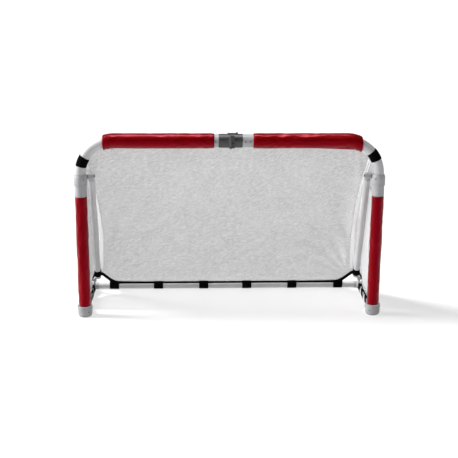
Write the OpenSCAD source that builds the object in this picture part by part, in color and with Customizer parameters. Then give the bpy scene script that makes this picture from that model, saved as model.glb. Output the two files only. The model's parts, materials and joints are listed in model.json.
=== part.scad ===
// Folding training goal: two mirrored halves joined by a hinge in the middle of the crossbar.
// Each half is a bent front tube, a padded post, a base that folds up and a diagonal strut.
// The posts stand in the plane y = 0 of the working frame, and place() moves the whole model so
// that its origin is the centre of the bounding box on the floor.

/* [Goal] */
// Distance between the centre lines of the two posts
post_spacing = 1450; // [1350:10:1600]
// Height of the crossbar centre line above the floor
bar_height = 889; // [860:1:920]
// Distance from the posts back to the rear bar
base_depth = 402; // [390:1:420]

/* [Front frame] */
// Outside diameter of the front tube
tube_d = 50; // [48:1:52]
// Wall thickness of the front tube
tube_wall = 2; // [1.5:0.1:2.5]
// Radius of the two top bends, to the tube centre line
bend_r = 165; // [150:1:180]
// Outside diameter of the crossbar pads
bar_pad_d = 73; // [72:1:75]
// Outside diameter of the post pads
post_pad_d = 60; // [56:1:62]
// Top of the post pads above the floor
post_pad_top = 615; // [560:1:616]
// Distance of each crossbar pad from the middle, right then left
bar_pad_start = [109, 78]; // [60:1:130]
// How far each crossbar pad runs round the bend, right then left
bar_pad_wrap = [27.8, 18.7]; // [5:0.1:30]

/* [Couplings and feet] */
// Outside diameter of the post couplings
coupling_d = 66; // [62:1:68]
// Height of the lower rim of the post couplings
coupling_z = 672; // [665:1:680]
// Height of the wide part of the post couplings
coupling_h = 52; // [46:1:56]
// Outside diameter of the foot elbows
foot_d = 75; // [70:1:77]
// Height of the foot elbows
foot_h = 54; // [50:1:56]

/* [Centre hinge] */
// Diameter of the hinge shells
hinge_d = 67; // [64:1:70]
// Length of each hinge shell
hinge_len = 57; // [50:1:60]
// Length of each riveted collar beside the hinge
collar_len = 52; // [48:1:54]
// Diameter of the riveted collars
collar_d = 63; // [60:1:64]
// Distance of the hinge pin in front of the crossbar centre line
fold_offset = 39; // [38.5:0.5:42]

/* [Base] */
// Outside diameter of the side tubes and the rear bar
base_d = 32; // [30:1:33]
// Wall thickness of the base tubes and struts
base_wall = 1.8; // [1.2:0.1:2]
// Distance of the base pivots behind the posts
base_pivot_y = 62; // [60:1:66]
// Places of the rear bar straps from the middle, right
rear_straps_right_x = [107, 353, 604];
// Places of the rear bar straps from the middle, left
rear_straps_left_x = [127, 372, 610];
// Places of the side tube straps behind the posts
side_straps_y = [115, 222, 322];

/* [Straps and net] */
// Width of the hook-and-loop straps
strap_w = 50; // [40:1:50]
// Thickness of the hook-and-loop straps
strap_t = 2.4; // [1.5:0.1:2.4]
// Place of the strap on each bend above the horizontal, right then left
bend_strap_deg = [33, 22]; // [15:1:40]
// Thickness of the net panels
net_t = 3; // [2:0.5:4]

/* [Hidden] */
$fn = 64;

// Colours
white = "white";
red = "crimson";
black = "black";
grey = "dimgray";
steel = "silver";
mesh = "gainsboro";

// Front frame
post_x = post_spacing / 2;
tube_r = tube_d / 2;
bore_r = tube_r - tube_wall;
slip = 0.15;
bend_x = post_x - bend_r;
bend_z = bar_height - bend_r;
tube_start = 10;
coupling_mid = coupling_z + coupling_h / 2;
skirt_d = 58;
skirt_z = post_pad_top + 3;
foot_floor = 6;
foot_r = foot_d / 2;
rim_h = 4;
rim_step = 1.2;
shoulder_h = 12;
shoulder_d = 57;
// Outline of the foot's rounded bottom, as radius and height
foot_bowl = [[27, 0], [32.5, 3.5], [35.3, 9], [36.3, 17]];
foot_ring_z = 40;
foot_ring_h = 3;

// Snap buttons
button_d = 7;
button_deg = 35;
button_out = 1.8;
button_root = 12.5;
button_flange_r = 21.5;
button_flange_d = 11;
button_lip_d = 14;
coupling_button_z = coupling_mid + 6;
foot_button_z = foot_h / 2;

// Centre hinge
pin_r = 3;
pin_slip = 0.08;
knuckle_r = 7;
knuckle_h = 19.4;
knuckle_gap = 0.4;
knuckle_web = 18;
seam = 0.3;
rivet_r = 2.5;
rivet_head_r = 3.8;
rivets_x = [71.5, 94.7];
rivet_room = 5;
lever_t = 3.5;
lever_w = 13;
lever_barrel_r = 3.4;
lever_pivot_x = 31;
lever_tip_x = -15;
lever_pivot_z = bar_height + hinge_d / 2 + 4;
latch_pin_r = 1.5;
latch_ear = [8, 3, 9];
latch_gap = 0.4;
catch_x = -9;
catch_r = 2.2;
catch_h = 7;
pin_head_r = pin_r + 2;
pin_head_t = 2.2;

// Base
base_r = base_d / 2;
base_bore_r = base_r - base_wall;
base_z = base_r + strap_t;
ear_gap = 16.6;
ear_t = 6;
bolt_r = 4;
bolt_head_r = 7;
bolt_head_t = 4;
plug_len = 34;
elbow_reach = 30;
elbow_r = base_r + strap_t;
tube_inset = 17;
socket_inset = 16.5;
spigot_r = 11.4;
spigot_out = 18;

// Struts: the top pivot, the lower eye and the angle between them
strut_top = [post_x - 50, 24, coupling_mid + 14];
strut_eye_z = 78;
strut_eye_y = 325;
strut_foot_x = post_x - 36;
strut_rise = strut_top.z - strut_eye_z;
strut_run = strut_eye_y - strut_top.y;
strut_len = norm([strut_foot_x - strut_top.x, strut_run, strut_rise]);
strut_lean = atan2(strut_run, strut_rise);
strut_splay = asin((strut_foot_x - strut_top.x) / strut_len);
strut_r = 16;
lug_r = 16;
lug_half = 14;
strut_tube_top = 24;
strut_tube_end = 26;
strut_strap_w = 38;
lug_neck_r = 12;
eye_r = 11;
eye_x = [10, 17];
bracket_x = [post_x - 18, post_x - 11];
bracket_y = 363;
bracket_w = 14;
bracket_eye_r = 11;

// Net
net_top = [34, 850];
net_low = [392, 44];
net_edge_x = post_x - 14;
net_corner_drop = 150;
net_side_x = post_x - 12;

// The model's own frame
front_reach = fold_offset + knuckle_r;
rear_reach = base_depth + elbow_r;
place_y = (front_reach - rear_reach) / 2;

module place() {
    translate([0, place_y, 0]) children();
}

// The left half is the mirror image of the right half
module half(side) {
    place() mirror([side < 0 ? 1 : 0, 0, 0]) children();
}

function pick(side, pair) = side > 0 ? pair[0] : pair[1];

module along_x(x) {
    translate([x, 0, 0]) rotate([0, 90, 0]) children();
}

module along_y(y) {
    translate([0, y, 0]) rotate([-90, 0, 0]) children();
}

module ring(r_out, r_in, h) {
    linear_extrude(h) difference() {
        circle(r_out);
        circle(r_in);
    }
}

// A round band that follows the top bend from one angle to another above the horizontal
module bend_band(r_out, r_in, from_deg, to_deg) {
    translate([bend_x, 0, bend_z])
        rotate([90, 0, 0])
        rotate([0, 0, to_deg])
        rotate_extrude(angle = from_deg - to_deg, $fn = 96)
        translate([bend_r, 0])
        difference() {
            circle(r_out);
            circle(r_in);
        }
}

// Holes for the rivets that hold the collar on the tube
module rivet_row(r, y_out, y_in) {
    for (x = rivets_x)
        translate([x, -y_out, bar_height]) rotate([-90, 0, 0]) cylinder(r = r, h = y_out - y_in);
}

// Round hole for a snap button, from the post axis outwards
module button_hole(z, grow) {
    translate([post_x, 0, z])
        rotate([0, 0, -90 - button_deg])
        rotate([0, 90, 0])
        cylinder(d = button_d + 2 * grow, h = foot_r + 10);
}

// Raised lip round a snap button, flat at this distance from the post axis
module button_lip(z, reach) {
    translate([post_x, 0, z])
        rotate([0, 0, -90 - button_deg])
        rotate([0, 90, 0])
        cylinder(d = button_lip_d, h = reach);
}

module crossbar_tube(side) {
    color(white) half(side) difference() {
        union() {
            translate([0, 0, bar_height])
                along_x(tube_start)
                ring(tube_r, bore_r, bend_x - tube_start);
            bend_band(tube_r, bore_r, 0, 90);
            translate([post_x, 0, coupling_mid]) ring(tube_r, bore_r, bend_z - coupling_mid);
        }
        rivet_row(rivet_r, collar_d, bore_r / 2);
        button_hole(coupling_button_z, 0.3);
    }
}

module post_tube(side) {
    color(white) half(side) difference() {
        translate([post_x, 0, foot_floor]) ring(tube_r, bore_r, coupling_mid - 1 - foot_floor);
        button_hole(foot_button_z, 0.3);
    }
}

// Foam pad with a vinyl cover, which follows the start of the bend
module crossbar_pad(side) {
    start = pick(side, bar_pad_start);
    collar_end = hinge_len + collar_len;
    color(red) half(side) difference() {
        union() {
            translate([0, 0, bar_height])
                along_x(start)
                ring(bar_pad_d / 2, tube_r + slip, bend_x - start);
            bend_band(bar_pad_d / 2, tube_r + slip, 90 - pick(side, bar_pad_wrap), 90);
        }
        translate([0, 0, bar_height])
            along_x(0)
            cylinder(d = collar_d + rivet_room, h = collar_end + 0.5);
    }
}

module post_pad(side) {
    pad_low = foot_h + 1;
    color(red) half(side)
        translate([post_x, 0, pad_low])
        ring(post_pad_d / 2, tube_r + slip, post_pad_top - pad_low);
}

module bend_strap(side) {
    half_deg = strap_w / bend_r * 180 / PI / 2;
    centre = pick(side, bend_strap_deg);
    color(black) half(side)
        bend_band(tube_r + strap_t, tube_r + slip, centre - half_deg, centre + half_deg);
}

// Sleeve over the joint between bend and post, with a boss for the strut on its inner side
module upper_coupling(side) {
    boss_r = 13;
    boss_bore = 14;
    boss_in = strut_top.x + lug_half + 0.5;
    color(white) half(side) difference() {
        union() {
            translate([post_x, 0, coupling_z])
                cylinder(d = coupling_d - 2 * rim_step, h = coupling_h - shoulder_h);
            translate([post_x, 0, coupling_z]) cylinder(d = coupling_d, h = rim_h);
            translate([post_x, 0, coupling_z + coupling_h - shoulder_h])
                cylinder(d1 = coupling_d - 2 * rim_step, d2 = shoulder_d, h = shoulder_h);
            button_lip(coupling_button_z, coupling_d / 2);
            translate([post_x, 0, skirt_z]) cylinder(d = skirt_d, h = coupling_z - skirt_z + 1);
            translate([0, strut_top.y, strut_top.z])
                along_x(boss_in)
                cylinder(r = boss_r, h = post_x - tube_r - boss_in + 16);
        }
        translate([post_x, 0, skirt_z - 1]) cylinder(r = tube_r + slip, h = coupling_h + 60);
        button_hole(coupling_button_z, 0.3);
        translate([0, strut_top.y, strut_top.z])
            along_x(boss_in - 1)
            cylinder(r = bolt_r + pin_slip, h = boss_bore);
    }
}

// Round foot with a socket for the post and a fork behind it for the side tube
module foot_elbow(side) {
    color(white) half(side) difference() {
        union() {
            translate([post_x, 0, 0])
                rotate_extrude()
                polygon(concat([[0, 0]], foot_bowl, [[foot_r - rim_step, foot_h], [0, foot_h]]));
            translate([post_x, 0, foot_ring_z]) cylinder(d = foot_d, h = foot_ring_h);
            translate([post_x, 0, foot_h - rim_h]) cylinder(d = foot_d, h = rim_h);
            button_lip(foot_button_z, foot_r);
            for (x = [-ear_gap - ear_t, ear_gap]) {
                translate([post_x + x, base_pivot_y, base_z])
                    rotate([0, 90, 0])
                    cylinder(r = base_r, h = ear_t);
                translate([post_x + x, tube_r - 4, base_z - base_r])
                    cube([ear_t, base_pivot_y - tube_r + 4, base_d]);
            }
        }
        translate([post_x, 0, foot_floor]) cylinder(r = tube_r + slip, h = foot_h);
        button_hole(foot_button_z, 0.3);
        translate([0, base_pivot_y, base_z])
            along_x(post_x - foot_r)
            cylinder(r = bolt_r + pin_slip, h = foot_d);
    }
}

// Snap button: a round pin with a flange that stays inside the tube
module snap_button(side, z, r_out) {
    color(steel) half(side)
        translate([post_x, 0, z])
        rotate([0, 0, -90 - button_deg])
        rotate([0, 90, 0])
        union() {
            translate([0, 0, button_root]) cylinder(d = button_d, h = r_out + button_out - button_root);
            translate([0, 0, button_flange_r - 2]) cylinder(d = button_flange_d, h = 2);
        }
}

module coupling_button(side) {
    snap_button(side, coupling_button_z, coupling_d / 2 - rim_step);
}

module foot_button(side) {
    snap_button(side, foot_button_z, foot_d / 2 - rim_step);
}

module hinge_collar(side) {
    color(white) half(side) difference() {
        translate([0, 0, bar_height])
            along_x(hinge_len)
            ring(collar_d / 2, tube_r + slip, collar_len);
        rivet_row(rivet_r, collar_d, bore_r / 2);
    }
}

module hinge_rivets(side) {
    color(steel) half(side) {
        rivet_row(rivet_r - 0.1, collar_d / 2 + 1, bore_r - 1.5);
        rivet_row(rivet_head_r, collar_d / 2 + 1.8, collar_d / 2 + 0.1);
    }
}

// One knuckle of the centre hinge with the web that joins it to its shell
module knuckle(level) {
    z = bar_height + level * (knuckle_h + knuckle_gap) - knuckle_h / 2;
    translate([0, -fold_offset, z]) cylinder(r = knuckle_r, h = knuckle_h);
    translate([seam, -fold_offset, z]) cube([knuckle_web, fold_offset - tube_r, knuckle_h]);
}

// The right shell holds the outer two knuckles and the left shell the middle one
module hinge_shell(side) {
    levels = side > 0 ? [-1, 1] : [0];
    color(grey) half(side) difference() {
        union() {
            difference() {
                union() {
                    translate([0, 0, bar_height])
                        along_x(seam)
                        cylinder(d = hinge_d, h = hinge_len - seam);
                    if (side > 0)
                        for (y = [-lever_w / 2 - 0.5 - latch_ear.y, lever_w / 2 + 0.5])
                            translate([lever_pivot_x - latch_ear.x / 2, y, bar_height + hinge_d / 2 - 2])
                            cube(latch_ear);
                    if (side < 0)
                        translate([-catch_x, 0, bar_height + hinge_d / 2 - 1])
                            cylinder(r = catch_r, h = catch_h);
                }
                translate([0, -fold_offset, bar_height - hinge_d])
                    cylinder(r = knuckle_r + 0.5, h = 2 * hinge_d);
            }
            for (level = levels) knuckle(level);
        }
        translate([0, 0, bar_height]) along_x(tube_start - 1) cylinder(r = tube_r + slip, h = hinge_len);
        translate([0, -fold_offset, bar_height - hinge_d])
            cylinder(r = pin_r + pin_slip, h = 2 * hinge_d);
        if (side > 0)
            translate([lever_pivot_x, -lever_w, lever_pivot_z])
                rotate([-90, 0, 0])
                cylinder(r = latch_pin_r + 0.1, h = 2 * lever_w);
    }
}

module hinge_pin() {
    pin_half = 1.5 * knuckle_h + knuckle_gap;
    color(steel) place() translate([0, -fold_offset, bar_height]) {
        translate([0, 0, -pin_half - 2]) cylinder(r = pin_r, h = 2 * pin_half + 3);
        translate([0, 0, pin_half + 0.3]) cylinder(r = pin_head_r, h = pin_head_t);
        translate([0, 0, -pin_half - 0.3 - pin_head_t]) cylinder(r = pin_head_r, h = pin_head_t);
    }
}

// Flat latch lever over the seam, with a notch for the catch at its tip
module latch_lever() {
    color(steel) place() difference() {
        union() {
            translate([lever_tip_x, -lever_w / 2, bar_height + hinge_d / 2 + latch_gap])
                cube([lever_pivot_x - lever_tip_x, lever_w, lever_t]);
            translate([lever_pivot_x, -lever_w / 2, lever_pivot_z])
                rotate([-90, 0, 0])
                cylinder(r = lever_barrel_r, h = lever_w);
        }
        translate([lever_tip_x - 1, -catch_r - 0.5, bar_height])
            cube([catch_x - lever_tip_x + 1 + catch_r + 0.6, 2 * catch_r + 1, hinge_d]);
        translate([lever_pivot_x, -lever_w, lever_pivot_z])
            rotate([-90, 0, 0])
            cylinder(r = latch_pin_r + pin_slip, h = 2 * lever_w);
    }
}

module latch_pin() {
    pin_len = lever_w + 2 * latch_ear.y + 0.8;
    color(steel) place()
        translate([lever_pivot_x, -pin_len / 2, lever_pivot_z])
        rotate([-90, 0, 0])
        cylinder(r = latch_pin_r, h = pin_len);
}

// Base: side tube, knuckle plug, rear corner and rear bar
module side_tube(side) {
    start = base_pivot_y + 20;
    color(white) half(side)
        translate([post_x, 0, base_z])
        along_y(start)
        ring(base_r, base_bore_r, base_depth - tube_inset - start);
}

module side_knuckle(side) {
    color(white) half(side) difference() {
        union() {
            translate([post_x - base_r + 0.5, base_pivot_y, base_z])
                rotate([0, 90, 0])
                cylinder(r = base_r - 0.5, h = base_d - 1);
            translate([post_x, 0, base_z])
                along_y(base_pivot_y)
                cylinder(r = base_bore_r - slip, h = 20 + plug_len);
            translate([post_x, 0, base_z])
                along_y(base_pivot_y)
                cylinder(r = base_r - 0.8, h = 19.5);
        }
        translate([0, base_pivot_y, base_z])
            along_x(post_x - base_d)
            cylinder(r = bolt_r + pin_slip, h = 2 * base_d);
    }
}

module rear_elbow(side) {
    color(white) half(side) difference() {
        union() {
            translate([post_x, base_depth, base_z]) sphere(r = elbow_r);
            translate([post_x, 0, base_z])
                along_y(base_depth - elbow_reach)
                cylinder(r = elbow_r, h = elbow_reach);
            translate([0, base_depth, base_z])
                along_x(post_x - elbow_reach)
                cylinder(r = elbow_r, h = elbow_reach);
        }
        translate([post_x, 0, base_z])
            along_y(base_depth - elbow_reach - 1)
            cylinder(r = base_r + slip, h = elbow_reach + 1 - socket_inset);
        translate([0, base_depth, base_z])
            along_x(post_x - elbow_reach - 1)
            cylinder(r = base_r + slip, h = elbow_reach + 1 - socket_inset);
    }
}

module rear_tube(side) {
    color(white) half(side)
        translate([0, base_depth, base_z])
        along_x(0.4)
        ring(base_r, base_bore_r, post_x - tube_inset - 0.4);
}

// Plug that is fixed in the right rear tube and enters the left one
module rear_spigot() {
    color(steel) place()
        translate([0, base_depth, base_z]) {
        along_x(2) cylinder(r = base_bore_r - slip, h = plug_len);
        along_x(-spigot_out) cylinder(r = spigot_r, h = spigot_out + 3);
    }
}

// Clamp on the side tube with a plate that carries the lower end of the strut
module strut_bracket(side) {
    plate_t = bracket_x[1] - bracket_x[0];
    foot_half = bracket_w / 2 - 1;
    eye_half = bracket_eye_r - 1;
    color(white) half(side) difference() {
        union() {
            translate([post_x, 0, base_z])
                along_y(bracket_y - bracket_w / 2)
                cylinder(r = elbow_r, h = bracket_w);
            translate([bracket_x[0], 0, 0])
                rotate([90, 0, 90])
                linear_extrude(plate_t)
                polygon([
                    [bracket_y - foot_half, base_z + foot_half],
                    [bracket_y + foot_half, base_z + foot_half],
                    [strut_eye_y + eye_half, strut_eye_z],
                    [strut_eye_y - eye_half, strut_eye_z]
                ]);
            translate([0, strut_eye_y, strut_eye_z])
                along_x(bracket_x[0])
                cylinder(r = bracket_eye_r, h = plate_t);
        }
        translate([post_x, 0, base_z])
            along_y(bracket_y - bracket_w)
            cylinder(r = base_r + slip, h = 2 * bracket_w);
        translate([0, strut_eye_y, strut_eye_z])
            along_x(bracket_x[0] - 1)
            cylinder(r = bolt_r + pin_slip, h = plate_t + 2);
    }
}

// The pivot pin of the base, and the pin that the lower end of the strut hangs on
module base_pins(side) {
    reach = ear_gap + ear_t + 0.3;
    color(steel) half(side) {
        translate([0, base_pivot_y, base_z]) {
            along_x(post_x - reach - 1) cylinder(r = bolt_r, h = 2 * reach + 2);
            along_x(post_x - reach - bolt_head_t) cylinder(r = bolt_head_r, h = bolt_head_t);
            along_x(post_x + reach) cylinder(r = bolt_head_r, h = bolt_head_t);
        }
        translate([0, strut_eye_y, strut_eye_z]) {
            along_x(bracket_x[0] + 0.2) cylinder(r = bolt_r, h = bracket_x[1] - bracket_x[0] + 1);
            along_x(bracket_x[1] + 0.2) cylinder(r = bolt_head_r, h = bolt_head_t);
        }
    }
}

module strap_ring(r) {
    ring(r + strap_t, r + slip, strap_w);
}

module side_straps(side) {
    color(black) half(side)
        for (y = side_straps_y)
            translate([post_x, 0, base_z]) along_y(y - strap_w / 2) strap_ring(base_r);
}

module rear_straps(side) {
    color(black) half(side)
        for (x = side > 0 ? rear_straps_right_x : rear_straps_left_x)
            translate([0, base_depth, base_z]) along_x(x - strap_w / 2) strap_ring(base_r);
}

// Struts are drawn downwards from their top pivot
module strut_frame(side) {
    half(side)
        translate(strut_top)
        rotate([strut_lean, 0, 0])
        rotate([0, -strut_splay, 0])
        mirror([0, 0, 1])
        children();
}

module strut_tube(side) {
    color(white) strut_frame(side)
        translate([0, 0, strut_tube_top])
        ring(strut_r, strut_r - base_wall, strut_len - strut_tube_end - strut_tube_top);
}

module strut_top_lug(side) {
    color(white) difference() {
        union() {
            half(side)
                translate(strut_top)
                along_x(-lug_half)
                cylinder(r = lug_r, h = 2 * lug_half);
            strut_frame(side) cylinder(r = lug_neck_r, h = strut_tube_top - 0.2);
            strut_frame(side) cylinder(r = strut_r - base_wall - slip, h = strut_tube_top + plug_len);
        }
        half(side)
            translate(strut_top)
            along_x(-lug_half - 5)
            cylinder(r = bolt_r + pin_slip, h = 2 * lug_half + 10);
    }
}

module strut_bolt(side) {
    shank = 2 * lug_half + 12;
    color(steel) half(side) translate(strut_top) {
        along_x(-lug_half - 1) cylinder(r = bolt_r, h = shank);
        along_x(-lug_half - 0.4 - bolt_head_t) cylinder(r = bolt_head_r, h = bolt_head_t);
    }
}

// Cap with a flat eye on the outer side of the strut's lower end
module strut_foot(side) {
    cap_z = strut_len - strut_tube_end;
    color(white) difference() {
        union() {
            strut_frame(side) {
                translate([0, 0, cap_z + 0.2]) cylinder(r = strut_r, h = 5);
                translate([0, 0, cap_z - plug_len])
                    cylinder(r = strut_r - base_wall - slip, h = plug_len + 3);
                translate([eye_x[0], -eye_r + 1.5, cap_z + 0.2])
                    cube([eye_x[1] - eye_x[0] - 2, 2 * eye_r - 3, strut_tube_end - 6]);
            }
            half(side)
                translate([strut_foot_x, strut_eye_y, strut_eye_z])
                along_x(eye_x[0])
                cylinder(r = eye_r, h = eye_x[1] - eye_x[0]);
        }
        half(side)
            translate([strut_foot_x, strut_eye_y, strut_eye_z])
            along_x(0)
            cylinder(r = bolt_r + 0.3, h = 30);
    }
}

module strut_strap(side) {
    strap_end = strut_tube_end + 8;
    color(black) strut_frame(side)
        translate([0, 0, strut_len - strap_end - strut_strap_w])
        ring(strut_r + strap_t, strut_r + slip, strut_strap_w);
}

// Net panels: plain thin slabs from the crossbar down to the rear bar and along both sides
module net_back(side) {
    run = net_low[0] - net_top[0];
    rise = net_top[1] - net_low[1];
    slant = norm([run, rise]);
    color(mesh) half(side)
        translate([0, net_top[0], net_top[1]])
        rotate([90 + atan2(run, rise), 0, 0])
        linear_extrude(net_t)
        polygon([
            [1, 0],
            [bend_x + 20, 0],
            [net_edge_x - 30, -net_corner_drop / 2],
            [net_edge_x, -net_corner_drop],
            [net_edge_x, -slant],
            [1, -slant]
        ]);
}

module net_side(side) {
    front = 38;
    low = 48;
    step_z = 98;
    step_y = 296;
    slope = (net_low[0] - net_top[0]) / (net_top[1] - net_low[1]);
    high = 800;
    color(mesh) half(side)
        translate([net_side_x, 0, 0])
        rotate([90, 0, 90])
        linear_extrude(net_t)
        polygon([
            [front, low],
            [step_y, low],
            [step_y + 12, step_z],
            [net_top[0] + (net_top[1] - step_z) * slope - 4, step_z],
            [front + 2, high],
            [front, high]
        ]);
}

crossbar_tube(1);  // crossbar_tube_right
crossbar_pad(1);  // crossbar_pad_right
bend_strap(1);  // bend_strap_right
upper_coupling(1);  // upper_coupling_right
coupling_button(1);  // coupling_button_right
post_tube(1);  // post_tube_right
post_pad(1);  // post_pad_right
foot_elbow(1);  // foot_elbow_right
foot_button(1);  // foot_button_right
hinge_shell(1);  // hinge_shell_right
hinge_collar(1);  // hinge_collar_right
hinge_rivets(1);  // hinge_rivets_right
net_back(1);  // net_back_right
net_side(1);  // net_side_right
strut_bolt(1);  // strut_bolt_right
side_tube(1);  // side_tube_right
side_knuckle(1);  // side_knuckle_right
rear_elbow(1);  // rear_elbow_right
rear_tube(1);  // rear_tube_right
strut_bracket(1);  // strut_bracket_right
base_pins(1);  // base_pins_right
side_straps(1);  // side_straps_right
rear_straps(1);  // rear_straps_right
strut_tube(1);  // strut_tube_right
strut_top_lug(1);  // strut_top_lug_right
strut_foot(1);  // strut_foot_right
strut_strap(1);  // strut_strap_right
crossbar_tube(-1);  // crossbar_tube_left
crossbar_pad(-1);  // crossbar_pad_left
bend_strap(-1);  // bend_strap_left
upper_coupling(-1);  // upper_coupling_left
coupling_button(-1);  // coupling_button_left
post_tube(-1);  // post_tube_left
post_pad(-1);  // post_pad_left
foot_elbow(-1);  // foot_elbow_left
foot_button(-1);  // foot_button_left
hinge_shell(-1);  // hinge_shell_left
hinge_collar(-1);  // hinge_collar_left
hinge_rivets(-1);  // hinge_rivets_left
net_back(-1);  // net_back_left
net_side(-1);  // net_side_left
strut_bolt(-1);  // strut_bolt_left
side_tube(-1);  // side_tube_left
side_knuckle(-1);  // side_knuckle_left
rear_elbow(-1);  // rear_elbow_left
rear_tube(-1);  // rear_tube_left
strut_bracket(-1);  // strut_bracket_left
base_pins(-1);  // base_pins_left
side_straps(-1);  // side_straps_left
rear_straps(-1);  // rear_straps_left
strut_tube(-1);  // strut_tube_left
strut_top_lug(-1);  // strut_top_lug_left
strut_foot(-1);  // strut_foot_left
strut_strap(-1);  // strut_strap_left
hinge_pin();
latch_lever();
latch_pin();
rear_spigot();
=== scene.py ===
import json
import math

import bpy
import numpy as np
from mathutils import Matrix, Vector, noise


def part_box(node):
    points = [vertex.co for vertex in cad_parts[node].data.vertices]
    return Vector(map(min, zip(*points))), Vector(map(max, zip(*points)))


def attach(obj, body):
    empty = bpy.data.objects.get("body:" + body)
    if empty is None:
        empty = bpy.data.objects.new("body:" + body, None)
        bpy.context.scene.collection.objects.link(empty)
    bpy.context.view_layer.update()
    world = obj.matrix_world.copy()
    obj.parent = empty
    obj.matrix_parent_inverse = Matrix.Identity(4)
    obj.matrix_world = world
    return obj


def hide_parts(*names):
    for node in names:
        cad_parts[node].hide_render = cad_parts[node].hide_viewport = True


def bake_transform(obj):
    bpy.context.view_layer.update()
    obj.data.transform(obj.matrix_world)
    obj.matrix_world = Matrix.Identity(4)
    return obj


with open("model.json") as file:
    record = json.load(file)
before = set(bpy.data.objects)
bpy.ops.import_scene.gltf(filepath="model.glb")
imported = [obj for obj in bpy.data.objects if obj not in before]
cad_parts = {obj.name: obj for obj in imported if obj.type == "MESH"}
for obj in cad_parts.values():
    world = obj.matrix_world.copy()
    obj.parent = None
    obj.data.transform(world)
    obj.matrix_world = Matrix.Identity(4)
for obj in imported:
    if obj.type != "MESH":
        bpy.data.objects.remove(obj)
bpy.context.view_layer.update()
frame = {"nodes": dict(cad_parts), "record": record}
nodes = frame["nodes"]
scene = bpy.context.scene
scene.view_settings.view_transform = "Standard"


# Sizes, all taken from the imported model

def middle(node):
    low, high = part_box(node)
    return (low + high) / 2


def extent(node):
    low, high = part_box(node)
    return high - low


SIDES = {"right": 1, "left": -1}
POST_X = middle("post_tube_right").x
FRONT_Y = middle("post_tube_right").y
BAR_Z = middle("hinge_collar_right").z
TUBE_R = extent("post_tube_right").x / 2
BAR_PAD_R = extent("crossbar_pad_right").y / 2
POST_PAD_R = extent("post_pad_right").y / 2
REAR_Y = middle("rear_tube_right").y
BASE_Z = middle("rear_tube_right").z
BASE_R = extent("rear_tube_right").z / 2
DEPTH = REAR_Y - FRONT_Y
BEND_R = 0.165
BEND_X = POST_X - BEND_R
BEND_Z = BAR_Z - BEND_R
STRAP_W = 0.050
STRUT_STRAP_W = 0.038
STRUT_STRAP_UP = 0.053


# Camera at the photograph's angle

def set_camera():
    yaw, pitch, roll = math.radians(2.04), math.radians(15.8), math.radians(0.32)
    ahead = Vector((math.sin(yaw), math.cos(yaw), 0))
    right = Vector((math.cos(yaw), -math.sin(yaw), 0))
    up = Vector((0, 0, 1))
    forward = ahead * math.cos(pitch) - up * math.sin(pitch)
    above = up * math.cos(pitch) + ahead * math.sin(pitch)
    r = right * math.cos(roll) + above * math.sin(roll)
    u = above * math.cos(roll) - right * math.sin(roll)
    m = Matrix((r, u, -forward)).transposed().to_4x4()
    m.translation = Vector((-0.1676, -4.7509, 1.741))
    cam = bpy.data.objects.new("camera", bpy.data.cameras.new("camera"))
    cam.data.lens = 75.7
    cam.data.sensor_width = 36
    cam.data.dof.use_dof = False
    scene.collection.objects.link(cam)
    cam.matrix_world = m
    scene.camera = cam


set_camera()


# Materials

class Shader:
    """A Principled material with helpers that add and link nodes."""

    def __init__(self, name, sockets):
        self.material = bpy.data.materials.new(name)
        self.material.use_nodes = True
        self.tree = self.material.node_tree
        self.bsdf = self.tree.nodes["Principled BSDF"]
        for key, value in sockets.items():
            self.bsdf.inputs[key].default_value = value

    def add(self, kind, inputs=None, **props):
        n = self.tree.nodes.new(kind)
        for key, value in props.items():
            setattr(n, key, value)
        for key, value in (inputs or {}).items():
            if isinstance(value, bpy.types.NodeSocket):
                self.tree.links.new(value, n.inputs[key])
            else:
                n.inputs[key].default_value = value
        return n

    def coords(self, kind="Object", scale=(1, 1, 1)):
        source = self.add("ShaderNodeTexCoord").outputs[kind]
        return self.add("ShaderNodeMapping", {"Vector": source, "Scale": scale}).outputs[0]

    def noise(self, vector, scale, detail=3.0, rough=0.5, distortion=0.0):
        return self.add("ShaderNodeTexNoise", {"Vector": vector, "Scale": scale, "Detail": detail,
                                               "Roughness": rough, "Distortion": distortion}).outputs["Fac"]

    def remap(self, value, low, high, to_low=0.0, to_high=1.0):
        return self.add("ShaderNodeMapRange", {"Value": value, "From Min": low, "From Max": high,
                                               "To Min": to_low, "To Max": to_high}).outputs[0]

    def mix(self, factor, a, b):
        n = self.add("ShaderNodeMix", data_type="RGBA")
        self.tree.links.new(factor, n.inputs[0])
        for socket, value in ((n.inputs[6], a), (n.inputs[7], b)):
            if isinstance(value, bpy.types.NodeSocket):
                self.tree.links.new(value, socket)
            else:
                socket.default_value = (*value, 1)
        return n.outputs[2]

    def bump(self, height, distance, strength=1.0, normal=None):
        inputs = {"Height": height, "Distance": distance, "Strength": strength}
        if normal is not None:
            inputs["Normal"] = normal
        return self.add("ShaderNodeBump", inputs).outputs[0]

    def painted_crease_shade(self, colour, reach, dark):
        """Paints shade into a colour: darkens it in creases closer than reach."""
        open_share = self.add("ShaderNodeAmbientOcclusion", {"Distance": reach}, samples=6).outputs["AO"]
        return self.mix(self.remap(open_share, 0.25, 0.85), dark, colour)

    def link(self, key, socket):
        self.tree.links.new(socket, self.bsdf.inputs[key])


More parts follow.
